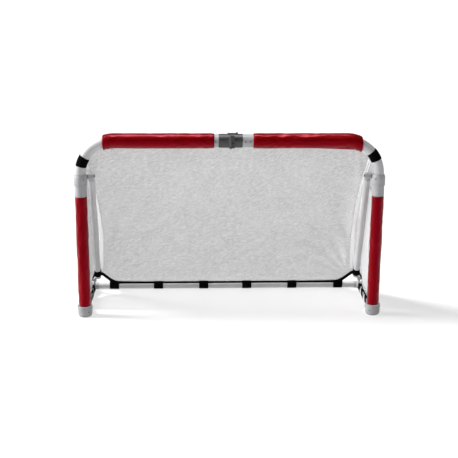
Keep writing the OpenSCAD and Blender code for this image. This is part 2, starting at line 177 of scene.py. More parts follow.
def powder_coat():
    s = Shader("powder_coat", {"Specular IOR Level": 0.5, "Coat Weight": 0.12, "Coat Roughness": 0.25})
    v = s.coords()
    peel = s.noise(v, 700, 2)
    cloud = s.noise(v, 7, 5, 0.6)
    scuff = s.remap(s.noise(s.coords(scale=(1, 1, 9)), 38, 8, 0.72), 0.6, 0.72)
    colour = s.mix(s.remap(cloud, 0.3, 0.7), (0.42, 0.42, 0.43), (0.53, 0.53, 0.54))
    # Painted shade: the coat's colour darkens in creases and under rims, by ambient occlusion
    s.link("Base Color", s.painted_crease_shade(s.mix(scuff, colour, (0.40, 0.40, 0.39)), 0.012, (0.22, 0.22, 0.22)))
    s.link("Roughness", s.remap(cloud, 0.3, 0.7, 0.30, 0.42))
    s.link("Normal", s.bump(peel, 0.00025, 0.35))
    return s.material


def moulded_plastic():
    s = Shader("moulded_plastic", {"Specular IOR Level": 0.45})
    v = s.coords()
    grain = s.noise(v, 1500, 2)
    cloud = s.noise(v, 16, 6, 0.6)
    dirt = s.remap(s.noise(v, 60, 8, 0.75), 0.58, 0.74)
    colour = s.mix(s.remap(cloud, 0.3, 0.7), (0.30, 0.30, 0.31), (0.42, 0.42, 0.43))
    # Painted shade: the plastic's colour darkens in creases and under rims, by ambient occlusion
    s.link("Base Color", s.painted_crease_shade(s.mix(dirt, colour, (0.34, 0.34, 0.33)), 0.014, (0.11, 0.11, 0.115)))
    s.link("Roughness", s.remap(cloud, 0.3, 0.7, 0.38, 0.52))
    s.link("Normal", s.bump(grain, 0.0002, 0.4))
    return s.material


def red_vinyl():
    s = Shader("red_vinyl", {
        "Specular IOR Level": 0.8, "Specular Tint": (1, 0.02, 0.09, 1),
        "Sheen Weight": 0.16, "Sheen Roughness": 0.3, "Sheen Tint": (1, 0.03, 0.16, 1)})
    v = s.coords()
    cells = s.add("ShaderNodeTexVoronoi", {"Vector": v, "Scale": 850}).outputs["Distance"]
    crease = s.noise(v, 42, 5, 0.6, 1.2)
    cloud = s.noise(v, 9, 4, 0.6)
    colour = s.mix(s.remap(cloud, 0.3, 0.7), (0.13, 0.0001, 0.0003), (0.185, 0.0002, 0.0006))
    worn = s.remap(s.noise(v, 120, 8, 0.75), 0.62, 0.8, 0, 0.5)
    s.link("Base Color", s.mix(worn, colour, (0.24, 0.001, 0.004)))
    s.link("Roughness", s.remap(crease, 0.3, 0.7, 0.27, 0.38))
    soft = s.bump(crease, 0.0010, 0.5)
    s.link("Normal", s.bump(cells, 0.00005, 0.5, soft))
    return s.material


def webbing(name, dark, light, sockets):
    """Narrow woven tape. Its pattern follows the piece's UVs, which are in metres along and across it."""
    s = Shader(name, {"Specular IOR Level": 0.03, **sockets})
    uv = s.coords("UV", (1000, 1000, 1))
    brick = s.add("ShaderNodeTexBrick", {
        "Vector": uv, "Scale": 1.0, "Mortar Size": 0.16, "Mortar Smooth": 0.6,
        "Brick Width": 2.4, "Row Height": 1.1,
        "Color1": (1, 1, 1, 1), "Color2": (0.7, 0.7, 0.7, 1), "Mortar": (0, 0, 0, 1)})
    fuzz = s.noise(s.coords("UV", (1, 1, 1)), 900, 3)
    threads = s.mix(s.remap(fuzz, 0.35, 0.65), dark, light)
    s.link("Base Color", s.mix(brick.outputs["Fac"], threads, tuple(c * 0.5 for c in dark)))
    body = s.bump(brick.outputs["Color"], 0.0004, 0.7)
    s.link("Normal", s.bump(fuzz, 0.0002, 0.4, body))
    return s.material


def cast_grey():
    s = Shader("cast_grey", {"Metallic": 0.55, "Specular IOR Level": 0.5})
    v = s.coords()
    grain = s.noise(v, 520, 4, 0.6)
    cloud = s.noise(v, 30, 6, 0.65)
    colour = s.mix(s.remap(cloud, 0.3, 0.7), (0.045, 0.045, 0.047), (0.085, 0.085, 0.088))
    rub = s.remap(s.noise(v, 150, 8, 0.75), 0.62, 0.75, 0, 0.8)
    s.link("Base Color", s.mix(rub, colour, (0.30, 0.30, 0.30)))
    s.link("Roughness", s.remap(cloud, 0.3, 0.7, 0.36, 0.55))
    s.link("Normal", s.bump(grain, 0.0004, 0.5))
    return s.material


def zinc_steel():
    s = Shader("zinc_steel", {"Metallic": 1.0})
    v = s.coords()
    spangle = s.add("ShaderNodeTexVoronoi", {"Vector": v, "Scale": 420}).outputs["Color"]
    cloud = s.noise(v, 70, 6, 0.7)
    tone = s.add("ShaderNodeSeparateColor", {"Color": spangle}).outputs[0]
    s.link("Base Color", s.mix(tone, (0.12, 0.122, 0.126), (0.22, 0.223, 0.228)))
    s.link("Roughness", s.remap(cloud, 0.3, 0.7, 0.26, 0.44))
    s.link("Normal", s.bump(s.noise(s.coords(scale=(1, 1, 12)), 300, 3), 0.0001, 0.4))
    return s.material


def net_cloth():
    """Knitted polyester mesh with small offset holes. UVs are in metres."""
    s = Shader("net_cloth", {"Roughness": 0.62, "Sheen Weight": 0.2, "Sheen Roughness": 0.5})
    uv = s.coords("UV", (1000, 1000, 1))
    brick = s.add("ShaderNodeTexBrick", {
        "Vector": uv, "Scale": 1.0, "Mortar Size": 0.68, "Mortar Smooth": 0.35,
        "Brick Width": 2.6, "Row Height": 2.1})
    thread = brick.outputs["Fac"]
    v = s.coords()
    # Creases lie along the cloth's pull, up to the right. The bump follows them, and lighter streaks along
    # them are painted highlights in the base colour
    drawn = s.add("ShaderNodeMapping", {
        "Vector": s.add("ShaderNodeTexCoord").outputs["Object"], "Scale": (3.2, 1, 1),
        "Rotation": (0, math.radians(-24), 0)}, vector_type="TEXTURE").outputs[0]
    painted_fold_highlight = s.noise(drawn, 150, 6, 0.75, 0.6)
    cloud = s.noise(v, 6, 4, 0.6)
    colour = s.mix(s.remap(cloud, 0.3, 0.7), (0.32, 0.32, 0.325), (0.43, 0.43, 0.435))
    # Painted glints: scattered bright specks in the base colour
    glint = s.remap(s.noise(v, 330, 5, 0.8), 0.57, 0.67)
    # Painted highlight: the base colour lightens in streaks along the creases
    base = s.mix(s.remap(painted_fold_highlight, 0.42, 0.72), colour, (0.72, 0.72, 0.73))
    s.link("Base Color", s.mix(glint, base, (0.92, 0.92, 0.93)))
    s.link("Alpha", s.remap(thread, 0.25, 0.6))
    soft = s.bump(s.noise(drawn, 62, 7, 0.72, 1.4), 0.005, 0.8)
    s.link("Normal", s.bump(thread, 0.0004, 0.5, soft))
    return s.material


def studio_floor():
    s = Shader("studio_floor", {"Roughness": 0.8, "Specular IOR Level": 0.1})
    s.link("Base Color", s.mix(s.noise(s.coords(), 0.6, 2), (0.69, 0.69, 0.69), (0.71, 0.71, 0.71)))
    return s.material


VINYL = red_vinyl()
BLACK = webbing("black_webbing", (0.001, 0.001, 0.0011), (0.004, 0.004, 0.0043), {"Roughness": 0.85})
TAPE = webbing("white_tape", (0.92, 0.92, 0.93), (0.98, 0.98, 0.99), {
    "Roughness": 0.6, "Subsurface Weight": 0.8, "Subsurface Radius": (1, 1, 1), "Subsurface Scale": 0.006})
NET = net_cloth()
BY_SLOT = {
    "frame_tube": powder_coat(),
    "white_fitting": moulded_plastic(),
    "red_vinyl": VINYL,
    "black_webbing": BLACK,
    "steel_pin": zinc_steel(),
    "hinge_grey": cast_grey(),
    "net_mesh": NET,
}


def finish_cad_nodes():
    """Gives each CAD node its slot's material and smooth shading on its round faces, keeping edges sharper
    than 32 degrees crisp.
    """
    slots = {p["node"]: p["material_slot"] for p in frame["record"]["subparts"]}
    for name, obj in nodes.items():
        obj.data.materials.clear()
        obj.data.materials.append(BY_SLOT[slots[name]])
        for p in obj.data.polygons:
            p.use_smooth = True
        weld = obj.modifiers.new("weld", "WELD")
        weld.merge_threshold = 0.00001
        split = obj.modifiers.new("edges", "EDGE_SPLIT")
        split.split_angle = math.radians(32)


finish_cad_nodes()


# Mesh helpers

def grid_object(name, points, material, around=False, closed=False, uv=None):
    """A mesh over rows x columns of points.

    around joins the last column to the first, and closed joins the last row to the first.
    """
    rows, cols = points.shape[:2]
    across = cols if around else cols - 1
    down = rows if closed else rows - 1
    faces = []
    corners = []
    for i in range(down):
        for j in range(across):
            i2, j2 = (i + 1) % rows, (j + 1) % cols
            faces.append((i * cols + j, i2 * cols + j, i2 * cols + j2, i * cols + j2))
            corners += [(i, j), (i + 1, j), (i + 1, j + 1), (i, j + 1)]
    mesh = bpy.data.meshes.new(name)
    mesh.from_pydata([tuple(p) for p in points.reshape(-1, 3)], [], faces)
    if uv is not None:
        layer = mesh.uv_layers.new(name="metres")
        picked = [uv[min(i, uv.shape[0] - 1), min(j, uv.shape[1] - 1)] for i, j in corners]
        layer.data.foreach_set("uv", np.array(picked, np.float32).ravel())
    for p in mesh.polygons:
        p.use_smooth = True
    mesh.materials.append(material)
    obj = bpy.data.objects.new(name, mesh)
    scene.collection.objects.link(obj)
    return obj


def perlin(points, size, seed):
    shift = Vector((seed * 17.3, seed * 5.1, seed * 9.7))
    flat = [noise.noise(Vector(p) / size + shift) for p in points.reshape(-1, 3)]
    return np.array(flat).reshape(points.shape[:-1])


def smooth(x):
    x = np.clip(x, 0, 1)
    return x * x * (3 - 2 * x)


def path_at(points, shares):
    """Points at these shares of the length of a polyline."""
    points = np.array(points, float)
    steps = np.linalg.norm(np.diff(points, axis=0), axis=1)
    run = np.concatenate([[0], np.cumsum(steps)]) / steps.sum()
    return np.stack([np.interp(shares, run, points[:, k]) for k in range(3)], axis=-1)


def rounded(points, passes=3):
    """Chaikin corner cutting that keeps both ends."""
    points = np.array(points, float)
    for _ in range(passes):
        a, b = points[:-1], points[1:]
        cut = np.empty((2 * len(a), 3))
        cut[0::2] = a * 0.75 + b * 0.25
        cut[1::2] = a * 0.25 + b * 0.75
        points = np.concatenate([points[:1], cut, points[-1:]])
    return points


def run_cloth(obj, held, frames, cap, settings):
    """Runs Blender's cloth on obj with held weights per vertex, then moves each point at most cap."""
    before = np.array([v.co for v in obj.data.vertices], float)
    group = obj.vertex_groups.new(name="held")
    for i, w in enumerate(held):
        group.add([i], float(w), "REPLACE")
    cloth = obj.modifiers.new("cloth", "CLOTH")
    cloth.settings.vertex_group_mass = "held"
    cloth.point_cache.frame_end = frames
    for key, value in settings.items():
        owner = cloth.settings.effector_weights if key == "gravity" else cloth.settings
        setattr(owner, key, value)
    cloth.collision_settings.use_collision = False
    for f in range(1, frames + 1):
        scene.frame_set(f)
    shape = obj.evaluated_get(bpy.context.evaluated_depsgraph_get())
    after = np.array([v.co for v in shape.data.vertices], float)
    obj.modifiers.remove(cloth)
    obj.vertex_groups.remove(group)
    scene.frame_set(1)
    move = np.nan_to_num(after - before)
    size = np.linalg.norm(move, axis=1, keepdims=True)
    move *= np.minimum(1, cap / np.maximum(size, 1e-9))
    obj.data.vertices.foreach_set("co", (before + move).astype(np.float32).ravel())
    obj.data.update()


# Foam sleeves in vinyl covers

def sleeve(name, replaced, body, centres, outward, frontward, pad_r, seed, bend_from=None, shear=0.0):
    """A pad round a tube. centres is its line; outward and frontward are unit vectors at each point of it."""
    steps = np.linalg.norm(np.diff(centres, axis=0), axis=1)
    run = np.concatenate([[0], np.cumsum(steps)])
    length = run[-1]
    inner = TUBE_R + 0.0006
    # Rounded end with a sewn groove, as distance from the end and radius
    edge = [(0.0030, inner), (0.0008, inner + 0.0025), (0.0, (inner + pad_r) / 2), (0.0006, pad_r - 0.0030),
            (0.0026, pad_r - 0.0010), (0.0055, pad_r - 0.0004), (0.0085, pad_r - 0.0011),
            (0.0110, pad_r - 0.0004)]
    rows = [(s, r, 0) for s, r in edge]
    count = int((length - 0.03) / 0.0055)
    rows += [(s, pad_r, 1) for s in np.linspace(0.015, length - 0.015, count)]
    rows += [(length - s, r, 0) for s, r in reversed(edge)]
    cols = 72
    angle = np.arange(cols) * 2 * math.pi / cols
    s = np.array([r[0] for r in rows])
    radius = np.repeat(np.array([r[1] for r in rows])[:, None], cols, axis=1)
    body_row = np.array([r[2] for r in rows])[:, None]
    # A straight-cut sleeve doesn't turn its end square to a bent tube: the far end stays sheared
    slide = -shear * smooth((s - length + 0.08) / 0.08)[:, None] * np.cos(angle)[None, :] * radius
    at_s = np.broadcast_to(s[:, None], radius.shape) + slide
    over = np.maximum(at_s - length, 0)
    at = [np.stack([np.interp(at_s, run, field[:, k]) for k in range(3)], -1)
          for field in (centres, outward, frontward)]
    last = centres[-1] - centres[-2]
    direction = at[1] * np.cos(angle)[None, :, None] + at[2] * np.sin(angle)[None, :, None]
    points = at[0] + direction * radius[:, :, None] + over[:, :, None] * last / np.linalg.norm(last)
    near_edge = (radius > pad_r - 0.0032).astype(float)
    # The cover closes with a lapped flap along the back
    flap_at, flap_w = math.radians(232), 0.040 / pad_r
    past = (angle - flap_at) % (2 * math.pi)
    lap = 0.0016 * np.where(past < flap_w, 1 - smooth(past / flap_w), 0)
    stitch = -0.0006 * np.exp(-(((past * pad_r) - 0.006) / 0.0018) ** 2)
    lift = (lap + stitch)[None, :] * near_edge
    # Soft dents, and creases on the inside of the bend
    lift = lift + body_row * (0.0007 * perlin(points, 0.12, seed) + 0.0003 * perlin(points, 0.032, seed + 3))
    if bend_from is not None:
        inside = smooth((-np.cos(angle) - 0.1) / 0.8)[None, :]
        bent = smooth((s - bend_from + 0.03) / 0.05)[:, None]
        crease = np.sin(s * 2 * math.pi / 0.021 + 1.3 * np.sin(s * 90))[:, None]
        lift = lift + body_row * inside * bent * 0.0018 * crease
    points = points + direction * lift[:, :, None]
    around = np.arange(cols + 1) * 2 * math.pi * pad_r / cols
    arc = np.stack([np.repeat(s[:, None], cols + 1, 1), np.tile(around, (len(s), 1))], -1)
    obj = grid_object(name, points, VINYL, around=True, closed=True, uv=arc)
    held = np.where(body_row > 0, 0.0, 1.0) * np.ones((1, cols))
    held = np.maximum(held, np.where(past * pad_r < 0.008, 0.9, 0)[None, :])
    run_cloth(obj, held.ravel(), 12, 0.0008, {
        "gravity": 0.0, "use_pressure": True, "uniform_pressure_force": 2.0, "shrink_min": -0.003,
        "quality": 5, "mass": 0.3, "tension_stiffness": 30, "compression_stiffness": 30,
        "shear_stiffness": 12, "bending_stiffness": 1.5, "air_damping": 4})
    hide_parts(replaced)
    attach(obj, body)
    return obj


def bend_line(side, start_x, wrap):
    """The crossbar's line from start_x to wrap radians round the bend, with outward and frontward vectors."""
    straight = np.arange(start_x, BEND_X, 0.004)
    turn = np.linspace(0, wrap, 24)
    x = np.concatenate([straight, BEND_X + BEND_R * np.sin(turn)]) * side
    z = np.concatenate([np.full(len(straight), BAR_Z), BEND_Z + BEND_R * np.cos(turn)])
    centres = np.stack([x, np.full(len(x), FRONT_Y), z], -1)
    lean = np.concatenate([np.zeros(len(straight)), turn])
    outward = np.stack([np.sin(lean) * side, np.zeros(len(x)), np.cos(lean)], -1)
    front = np.tile([0.0, -1.0, 0.0], (len(x), 1))
    return centres, outward, front


PAD_WRAP = {}
for word, side in SIDES.items():
    low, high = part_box(f"crossbar_pad_{word}")
    reach = max(abs(low.x), abs(high.x))
    start = min(abs(low.x), abs(high.x))
    PAD_WRAP[word] = math.asin((reach - BEND_X) / (BEND_R + BAR_PAD_R))
    centres, outward, front = bend_line(side, start, PAD_WRAP[word])
    sleeve(f"crossbar_sleeve_{word}", f"crossbar_pad_{word}", f"{word}_frame", centres, outward, front,
           BAR_PAD_R, 1.0 + side, bend_from=BEND_X - start, shear=0.8 * math.tan(PAD_WRAP[word]))
    low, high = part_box(f"post_pad_{word}")
    z = np.linspace(low.z, high.z, 60)
    centres = np.stack([np.full(60, side * POST_X), np.full(60, FRONT_Y), z], -1)
    outward, front = np.tile([side * 1.0, 0, 0], (60, 1)), np.tile([0.0, -1.0, 0.0], (60, 1))
    sleeve(f"post_sleeve_{word}", f"post_pad_{word}", f"{word}_frame", centres, outward, front,
           POST_PAD_R, 5.0 + side)


# The net. Working points are (distance from the middle, distance behind the posts, height)

def place(points, side):
    points = np.array(points, float)
    return np.stack([points[..., 0] * side, points[..., 1] + FRONT_Y, points[..., 2]], -1)


STRUT_TOP = Vector((POST_X - 0.050, 0.024, middle("strut_bolt_right").z))
STRUT_EYE = Vector((POST_X - 0.036, 0.325, 0.078))


def strut_at(z):
    share = (STRUT_TOP.z - z) / (STRUT_TOP.z - STRUT_EYE.z)
    x = STRUT_TOP.x + share * (STRUT_EYE.x - STRUT_TOP.x)
    y = STRUT_TOP.y + share * (STRUT_EYE.y - STRUT_TOP.y)
    return x, y


BACK_COLS, SIDE_COLS, NET_ROWS = 72, 30, 88


def strap_angle(word):
    """The angle, round the bend's centre, at which the strap sits on the bend."""
    strap = middle(f"bend_strap_{word}")
    return math.atan2(strap.z - BEND_Z, abs(strap.x) - BEND_X)


def net_half(word, side):
    """(back rows x columns, side rows x columns) of the net's working points."""
    behind_bar, on_rear, hem_z = 0.0335, DEPTH - 0.0145, 0.045
    top = [(0, behind_bar, BAR_Z - 0.016), (BEND_X - 0.02, behind_bar, BAR_Z - 0.016)]
    for a in np.linspace(math.radians(84), strap_angle(word), 10):
        r = BEND_R - 0.013
        top.append((BEND_X + r * math.cos(a), behind_bar, BEND_Z + r * math.sin(a)))
    tail = (0.668, 0.322, 0.124)
    low = [(0, on_rear, hem_z), (0.585, on_rear, hem_z), (0.618, DEPTH - 0.024, 0.060), tail]
    v = np.linspace(0, 1, NET_ROWS)
    u = np.linspace(0, 1, BACK_COLS)
    t_row, b_row = path_at(rounded(top), u), path_at(rounded(low), u)
    back = t_row[None] * (1 - v)[:, None, None] + b_row[None] * v[:, None, None]
    bow = 0.034 * np.sin(math.pi * v) ** 0.8
    back[:, :, 0] -= bow[:, None] * (u ** 4)[None, :]
    seam = back[:, -1, :]
    front_top, front_low = (POST_X - 0.010, 0.038, 0.745), (POST_X - 0.0095, 0.088, 0.053)
    lowest = rounded([tail, (0.690, 0.328, 0.122), (0.711, 0.327, 0.117), (0.7195, 0.306, 0.104),
                      (0.7185, 0.282, 0.074), (0.7155, 0.258, 0.055), (0.7155, 0.20, 0.053), front_low])
    w = np.linspace(0, 1, SIDE_COLS)
    side_panel = np.empty((NET_ROWS, SIDE_COLS, 3))
    last = path_at(lowest, w)
    for i, share in enumerate(v):
        f = np.array(front_top) * (1 - share) + np.array(front_low) * share
        f[0] -= 0.010 * math.sin(math.pi * share)
        f[1] += 0.010 * math.sin(math.pi * share)
        k = seam[i]
        z = k[2] * 0.55 + f[2] * 0.45
        sx, sy = strut_at(min(z, STRUT_TOP.z))
        out = np.array([max(sx + 0.0235, (k[0] + f[0]) / 2), sy + 0.004, z])
        if z > STRUT_TOP.z - 0.06:
            out = (k + f) / 2 + np.array([0.004, 0, 0])
        elif out[1] > k[1] - 0.02:
            out[1] = k[1] - 0.02
        line = path_at(rounded([k, (k * 0.35 + out * 0.65), out, (out * 0.6 + f * 0.4), f], 3), w)
        q = smooth((share - 0.80) / 0.20)
        side_panel[i] = line * (1 - q) + last * q
    return back, side_panel


def panel_uv(points):
    """Metres across and down the cloth, measured on the panel itself."""
    across, down = np.zeros(points.shape[:2]), np.zeros(points.shape[:2])
    across[:, 1:] = np.cumsum(np.linalg.norm(np.diff(points, axis=1), axis=2), 1)
    down[1:] = np.cumsum(np.linalg.norm(np.diff(points, axis=0), axis=2), 0)
    return np.stack([across, down], -1)


halves = {word: net_half(word, side) for word, side in SIDES.items()}


def whole_net():
    """One sheet of rows and columns, from the left front edge round the back to the right front edge."""
    left = np.concatenate([halves["left"][0], halves["left"][1][:, 1:]], 1)
    right = np.concatenate([halves["right"][0], halves["right"][1][:, 1:]], 1)
    return np.concatenate([place(left, -1)[:, :0:-1], place(right, 1)], 1)


def wrinkle(points):
    """Slack in the cloth: long diagonal folds that fan out from the lower corners, and some unevenness."""
    rows, cols = points.shape[:2]
    v = np.linspace(0, 1, rows)[:, None]
    x = points[..., 0]
    z = points[..., 2]
    inner = np.sin(math.pi * v) ** 0.7 * smooth((0.70 - np.abs(x)) / 0.10)
    fold = np.zeros((rows, cols))
    corner_x, corner_z = 0.66, 0.10
    for sign, seed in ((1, 2.0), (-1, 7.0)):
        from_corner = np.hypot(x - sign * corner_x, z - corner_z)
        bearing = np.arctan2(z - corner_z, corner_x - sign * x)
        near = np.exp(-(from_corner / 0.34) ** 2)
        fold += near * 0.0075 * np.sin(bearing * 19 + 1.2 * np.sin(from_corner * 14 + seed))
    lean = z - x * 0.55
    low_part = smooth((v - 0.35) / 0.5)
    patchy = np.clip(0.4 + 1.6 * perlin(points, 0.18, 6.0), 0, 1)
    fold += 0.0062 * (0.25 + 0.75 * low_part) * np.sin(lean * 62 + 3.0 * perlin(points, 0.22, 4.0)) * patchy
    fold += 0.0028 * np.sin(lean * 128 + 4.0 * perlin(points, 0.15, 9.0)) * (1 - patchy) * low_part
    fold += 0.0050 * perlin(points, 0.26, 11.0) + 0.0022 * perlin(points, 0.06, 13.0)
    return inner * fold


net = whole_net()
uv_net = np.concatenate([-panel_uv(net[:, :BACK_COLS + SIDE_COLS - 1][:, ::-1])[:, ::-1],
                         panel_uv(net[:, BACK_COLS + SIDE_COLS - 2:])[:, 1:]], 1)
# The slack back panel bellies out behind
belly = 0.010 * (np.sin(math.pi * np.linspace(0, 1, NET_ROWS)) ** 1.2)[:, None]
shaped = net.copy()
shaped[..., 1] += wrinkle(net) + belly * smooth((0.62 - np.abs(net[..., 0])) / 0.5)


def settle_net(points):
    """Lets the net hang from its top edge, its front edges and its hem."""
    obj = grid_object("net_draft", points, NET)
    rows, cols = points.shape[:2]
    held = np.zeros((rows, cols))
    held[0], held[-1], held[-2] = 1, 1, 1
    held[:, 0], held[:, -1] = 1, 1
    for k in (1, 2, 3):
        held[:, k], held[:, -1 - k] = 0.9, 0.9
    held[:, cols // 2] = 0
    span = SIDE_COLS - 1
    for k in range(span + 1):
        weight = 0.35 if k < span - 2 else 0.6
        held[:, k] = np.maximum(held[:, k], weight)
        held[:, -1 - k] = np.maximum(held[:, -1 - k], weight)
    run_cloth(obj, held.ravel(), 26, 0.016, {
        "gravity": 0.6, "shrink_min": -0.010, "quality": 6, "mass": 0.15, "tension_stiffness": 12,
        "compression_stiffness": 4, "shear_stiffness": 4, "bending_stiffness": 0.08, "air_damping": 3})
    done = np.array([v.co for v in obj.data.vertices], float).reshape(points.shape)
    bpy.data.objects.remove(obj)
    return done


shaped = settle_net(shaped)


def on_fold(obj):
    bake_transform(obj)
    return obj


MIDDLE_COL = BACK_COLS + SIDE_COLS - 2


def ribbon(name, upper, lower, thick, material, normal_sign=1, mid=None, cols=6):
    """A flat tape between two lines of points, with a thickness and rounded edges."""
    share = np.linspace(0, 1, cols)
    a, b = upper[:, None, :], lower[:, None, :]
    m = (a + b) / 2 if mid is None else mid[:, None, :]
    t = share[None, :, None]
    face = a * (1 - t) ** 2 + (2 * m - (a + b) / 2) * 2 * t * (1 - t) + b * t ** 2
    along = np.gradient(face, axis=0)
    across = np.gradient(face, axis=1)
    normal = np.cross(along, across)
    normal /= np.maximum(np.linalg.norm(normal, axis=2, keepdims=True), 1e-9)
    profile = thick * (1 - 0.75 * (2 * np.abs(share - 0.5)) ** 6)
    front = face + normal * normal_sign * profile[None, :, None] / 2
    back = face - normal * normal_sign * profile[None, :, None] / 2
    ring = np.concatenate([front, back[:, ::-1]], 1)
    uv = panel_uv(ring)
    uv = np.concatenate([uv, uv[:, -1:] + [0.002, 0]], 1)
    obj = grid_object(name, ring, material, around=True, uv=uv)
    close_ends(obj, len(ring), ring.shape[1])
    return obj


def close_ends(obj, rows, cols):
    """Caps the first and last ring of a tube-like grid."""
    mesh = obj.data
    verts = [tuple(v.co) for v in mesh.vertices]
    faces = [tuple(p.vertices) for p in mesh.polygons]
    old = np.zeros(len(mesh.loops) * 2, np.float32)
    mesh.uv_layers[0].data.foreach_get("uv", old)
    faces += [tuple(range(cols)), tuple((rows - 1) * cols + j for j in reversed(range(cols)))]
    fresh = bpy.data.meshes.new(mesh.name)
    fresh.from_pydata(verts, [], faces)
    layer = fresh.uv_layers.new(name="metres")
    layer.data.foreach_set("uv", np.concatenate([old, np.tile(old[:2], 2 * cols)]).astype(np.float32))
    for p in fresh.polygons:
        p.use_smooth = len(p.vertices) == 4
    fresh.materials.append(mesh.materials[0])
    obj.data = fresh


def piping(name, line, radius, material, sides=8):
    """A thin sewn cord along a line of points."""
    tangent = np.gradient(line, axis=0)
    tangent /= np.linalg.norm(tangent, axis=1, keepdims=True)
    guide = np.array([0.3, -0.9, 0.2])
    n1 = np.cross(tangent, guide)
    n1 /= np.linalg.norm(n1, axis=1, keepdims=True)
    n2 = np.cross(tangent, n1)
    a = np.arange(sides) * 2 * math.pi / sides
    a = a[None, :, None]
    ring = line[:, None] + radius * (n1[:, None] * np.cos(a) + n2[:, None] * np.sin(a))
    uv = panel_uv(np.concatenate([ring, ring[:, :1]], 1))
    obj = grid_object(name, ring, material, around=True, uv=uv)
    close_ends(obj, len(ring), sides)
    return obj


def hem_lines(word, side, row, seam_col):
    """Upper, middle and lower line of the black binding under the net's bottom row."""
    upper = row.copy()
    local = np.abs(row[:, 0])
    y, z = row[:, 1] - FRONT_Y, row[:, 2]
    on_bar = 1 - smooth((local - 0.575) / 0.035)
    beyond = np.arange(len(row)) > seam_col
    on_side = np.where(beyond, 1 - smooth((y - 0.235) / 0.045), 0)
    lower, mid = upper.copy(), upper.copy()
    r = BASE_R + 0.0016
    bar_low = np.array([DEPTH - r * math.cos(0.95), BASE_Z + r * math.sin(0.95)])
    bar_mid = np.array([DEPTH - (r + 0.005) * math.cos(1.0), BASE_Z + (r + 0.005) * math.sin(1.0)])
    lower[:, 2] = z - 0.022
    mid[:, 2] = z - 0.011
    lower[:, 1] += 0.006 * (1 - beyond)
    mid[:, 1] += 0.003 * (1 - beyond)
    for target, point in ((lower, bar_low), (mid, bar_mid)):
        target[:, 1] = target[:, 1] * (1 - on_bar) + (point[0] + FRONT_Y) * on_bar
        target[:, 2] = target[:, 2] * (1 - on_bar) + point[1] * on_bar
    for target, angle in ((lower, 1.30), (mid, 1.20)):
        x = side * (POST_X - r * math.cos(angle))
        target[:, 0] = target[:, 0] * (1 - on_side) + x * on_side
        target[:, 2] = target[:, 2] * (1 - on_side) + (BASE_Z + r * math.sin(angle)) * on_side
    return upper, mid, lower


for word, side in SIDES.items():
    cols = slice(MIDDLE_COL, None) if side > 0 else slice(MIDDLE_COL, None, -1)
    half = shaped[:, cols]
    uv = uv_net[:, cols]
    cloth = grid_object(f"net_{word}", half, NET, uv=uv)
    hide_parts(f"net_back_{word}", f"net_side_{word}")
    on_fold(cloth)
    seam_col = BACK_COLS - 1
    low_row = half[-1]
    pick = np.linspace(0, 1, 150)
    dense = path_at(low_row, pick)
    seam_share = int(150 * (panel_uv(half)[-1, seam_col, 0] / panel_uv(half)[-1, -1, 0]))
    upper, mid, lower = hem_lines(word, side, dense, seam_share)
    upper = upper + np.array([0, 0, 0.003])
    hem = ribbon(f"net_hem_{word}", upper, lower, 0.0026, BLACK, mid=mid)
    on_fold(hem)
    # White tape and piping on the corner seam, along the top and down the front edge
    lines = {"seam": half[:, seam_col], "seam_outer": half[:, seam_col + 6],
             "front_edge": half[:, -1], "top_edge": half[0, :]}
    for label, line in lines.items():
        line = path_at(line, np.linspace(0, 1, 90 if label != "top_edge" else 150))
        cord = piping(f"net_{label}_{word}", line, 0.0036 if "seam" in label else 0.0022, TAPE)
        on_fold(cord)
    inward = np.array([-0.0012 * side, -0.0012, 0])
    tape = ribbon(f"net_seam_tape_{word}", path_at(half[:, seam_col], np.linspace(0, 1, 90)) + inward,
                  path_at(half[:, seam_col + 3], np.linspace(0, 1, 90)) + inward, 0.0012, TAPE)
    on_fold(tape)
    band = ribbon(f"net_top_band_{word}", half[0] + np.array([0, -0.0015, 0.001]),
                  half[2] + np.array([0, -0.0015, 0]), 0.0012, TAPE)
    on_fold(band)
    width = float(panel_uv(half)[..., 0].max())
    length = float(panel_uv(half)[..., 1].max())


# Hook-and-loop straps

def strap_loop(name, frame_at, width, radius, start, bulge=None, across_steps=9):
    """A strap wound once round a tube with its tail lapped over.

    frame_at(w) gives the centre and two unit vectors at w across the strap. bulge is the angle and the
    distance of what the strap passes over.
    """
    thick = 0.0016
    sweep = 2 * math.pi * 1.13
    count = 96
    theta = np.linspace(start, start + sweep, count)
    base = np.full(count, radius)
    if bulge is not None:
        bulge_at, distance = bulge
        opening = math.acos(radius / distance)
        off = np.abs((theta - bulge_at + math.pi) % (2 * math.pi) - math.pi)
        near = off < opening
        base = np.where(near, radius / np.cos(opening - np.minimum(off, opening)), radius)
        for _ in range(4):
            base[1:-1] = (base[:-2] + 2 * base[1:-1] + base[2:]) / 4
            base = np.maximum(base, radius)
    lap = (thick + 0.0003) * smooth((theta - start - 2 * math.pi + 0.30) / 0.28)
    inner = base + lap
    w = np.linspace(-width / 2, width / 2, across_steps)
    edge = thick * (1 - 0.5 * (2 * np.abs(w) / width) ** 8)
    frames = [frame_at(x) for x in w]
    rings = np.empty((count, 2 * across_steps, 3))
    for j, (c, n, b) in enumerate(frames):
        direction = n[None] * np.cos(theta)[:, None] + b[None] * np.sin(theta)[:, None]
        rings[:, j] = c + direction * (inner + edge[j])[:, None]
        rings[:, 2 * across_steps - 1 - j] = c + direction * inner[:, None]
    along = theta * (radius + thick)
    ring_uv = np.empty((count, 2 * across_steps + 1, 2))
    ring_uv[..., 0] = along[:, None]
    positions = np.concatenate([w, w[::-1] + width, [width * 1.5]])
    ring_uv[..., 1] = positions[None]
    obj = grid_object(name, rings, BLACK, around=True, uv=ring_uv)
    close_ends(obj, count, 2 * across_steps)
    return obj


